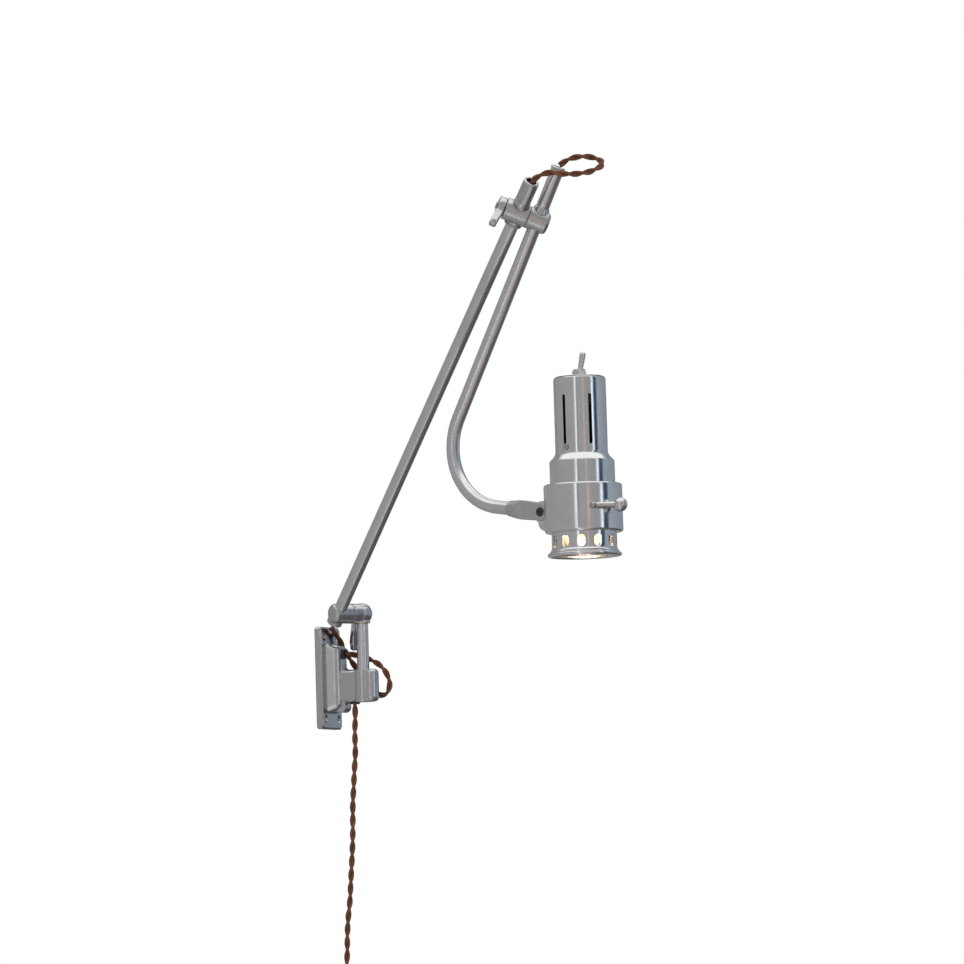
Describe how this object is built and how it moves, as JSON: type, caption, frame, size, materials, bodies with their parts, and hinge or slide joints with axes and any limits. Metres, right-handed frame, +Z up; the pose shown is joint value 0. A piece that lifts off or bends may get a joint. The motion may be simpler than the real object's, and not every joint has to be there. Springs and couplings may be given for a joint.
{
  "type": "swing arm wall lamp",
  "caption": "Wall bracket with post, tilting knuckle, straight tube, sliding elbow clamp and hooked tube carrying a cylindrical lamp head in a clamp collar, fed by twisted flex.",
  "frame": {"origin": "middle of the bracket's wall face", "axes": "+Y into the wall, +Z up, the lamp stands off along -Y"},
  "size_m": [0.3324, 0.4654, 1.0402],
  "materials": {
    "polished_casting": "polished",
    "polished_tube": "polished",
    "steel": "machined",
    "dark_screw": "blackened",
    "brass": "turned",
    "rubber": "matt",
    "flex": "braided",
    "fibre": "fibre",
    "porcelain": "glazed",
    "bakelite": "moulded",
    "reflector": "bright",
    "opal_glass": "opal"
  },
  "bodies": {
    "bracket": {"bracket_casting": "polished_casting", "back_cover": "fibre", "back_cover_screws": "steel", "terminal_block": "porcelain", "terminal_screws": "brass", "upper_grommet": "rubber", "lower_grommet": "rubber", "post": "polished_tube", "post_screw": "steel", "thrust_washer": "brass", "service_loop_flex": "flex", "mains_flex": "flex", "mains_hank": "flex", "hank_tie": "rubber", "plug_body": "bakelite", "plug_pins": "brass"},
    "swivel": {"swivel_block": "polished_casting", "knuckle_friction_washer": "fibre", "knuckle_retaining_screws": "steel"},
    "swing_lever": {"swing_lock_screw": "steel", "swing_lock_lever": "polished_casting"},
    "lower_arm": {"tilt_block": "polished_casting", "lower_tube": "polished_tube", "lower_tube_flex": "flex", "top_loop_flex": "flex"},
    "sliding_sleeve": {"elbow_split_sleeve": "polished_casting"},
    "elbow_lower": {"elbow_lower_block": "polished_casting", "elbow_friction_washer": "fibre"},
    "elbow_lever": {"elbow_lock_screw": "steel", "elbow_lock_lever": "polished_casting"},
    "elbow_upper": {"elbow_upper_block": "polished_casting", "elbow_retaining_screws": "steel"},
    "hooked_arm": {"upper_tube": "polished_tube", "upper_tube_flex": "flex", "neck_fork": "polished_casting", "hinge_screw": "dark_screw", "hinge_nut": "steel", "hinge_washers": "brass"},
    "collar": {"clamp_collar": "polished_tube"},
    "collar_lever": {"collar_clamp_screw": "steel", "collar_lever_rod": "polished_tube", "collar_lever_ball": "polished_tube"},
    "lamp_head": {"lamp_housing": "polished_tube", "perforated_mouth": "polished_tube", "reflector": "reflector", "holder_bracket": "steel", "holder_screws": "steel", "lampholder": "porcelain", "holder_shell": "brass", "holder_contact": "brass", "bulb_glass": "opal_glass", "bulb_cap": "brass", "switch_body": "bakelite", "switch_bushing": "polished_tube", "switch_nut": "polished_tube", "switch_leads": "flex"},
    "toggle": {"switch_lever": "polished_tube"}
  },
  "joints": [
    {"name": "arm_swing", "type": "hinge", "parent": "bracket", "child": "swivel", "pos_m": [0, -0.045, 0.067], "axis": [0, 0, 1], "range_deg": [-40, 85], "deforming": ["service_loop_flex"]},
    {"name": "arm_tilt", "type": "hinge", "parent": "swivel", "child": "lower_arm", "pos_m": [0, -0.045, 0.067], "axis": [-0.8241, 0.5664, 0], "range_deg": [-40, 35], "deforming": ["service_loop_flex"]},
    {"name": "elbow_slide", "type": "slide", "parent": "lower_arm", "child": "sliding_sleeve", "axis": [-0.404, -0.5878, 0.7009], "range_m": [-0.06, 0.006], "deforming": ["top_loop_flex"]},
    {"name": "elbow_twist", "type": "hinge", "parent": "sliding_sleeve", "child": "elbow_lower", "pos_m": [-0.24019, -0.34381, 0.44269], "axis": [-0.404, -0.5878, 0.7009], "range_deg": [-45, 45], "deforming": ["top_loop_flex"]},
    {"name": "elbow_bend", "type": "hinge", "parent": "elbow_lower", "child": "elbow_upper", "pos_m": [-0.24019, -0.34381, 0.44269], "axis": [0.4979, -0.7841, -0.3705], "range_deg": [-40, 40], "deforming": ["top_loop_flex"]},
    {"name": "stem_turn", "type": "hinge", "parent": "elbow_upper", "child": "hooked_arm", "pos_m": [-0.22964, -0.36043, 0.43483], "axis": [-0.0569, -0.4559, 0.8882], "range_deg": [-40, 40]},
    {"name": "head_tilt", "type": "hinge", "parent": "hooked_arm", "child": "collar", "pos_m": [-0.24438, -0.3643, 0.14013], "axis": [0.9757, -0.2192, 0], "range_deg": [-45, 45]},
    {"name": "head_turn", "type": "hinge", "parent": "collar", "child": "lamp_head", "pos_m": [-0.25494, -0.41133, 0.14013], "axis": [0, 0, 1], "range_deg": [-170, 170]},
    {"name": "collar_lever_turn", "type": "hinge", "parent": "collar", "child": "collar_lever", "pos_m": [-0.28926, -0.43657, 0.14013], "axis": [-0.8055, -0.5926, 0], "range_deg": [-35, 35]},
    {"name": "swing_lever_turn", "type": "hinge", "parent": "swivel", "child": "swing_lever", "pos_m": [0.00793, -0.03346, 0.0628], "axis": [0.5664, 0.8241, 0], "range_deg": [-70, 15]},
    {"name": "elbow_lever_turn", "type": "hinge", "parent": "elbow_lower", "child": "elbow_lever", "pos_m": [-0.24716, -0.33283, 0.44788], "axis": [0.4979, -0.7841, -0.3705], "range_deg": [-60, 60]},
    {"name": "toggle_throw", "type": "hinge", "parent": "lamp_head", "child": "toggle", "pos_m": [-0.25494, -0.41133, 0.27213], "axis": [0.925, 0.3801, 0], "range_deg": [-22, 0]}
  ]
}
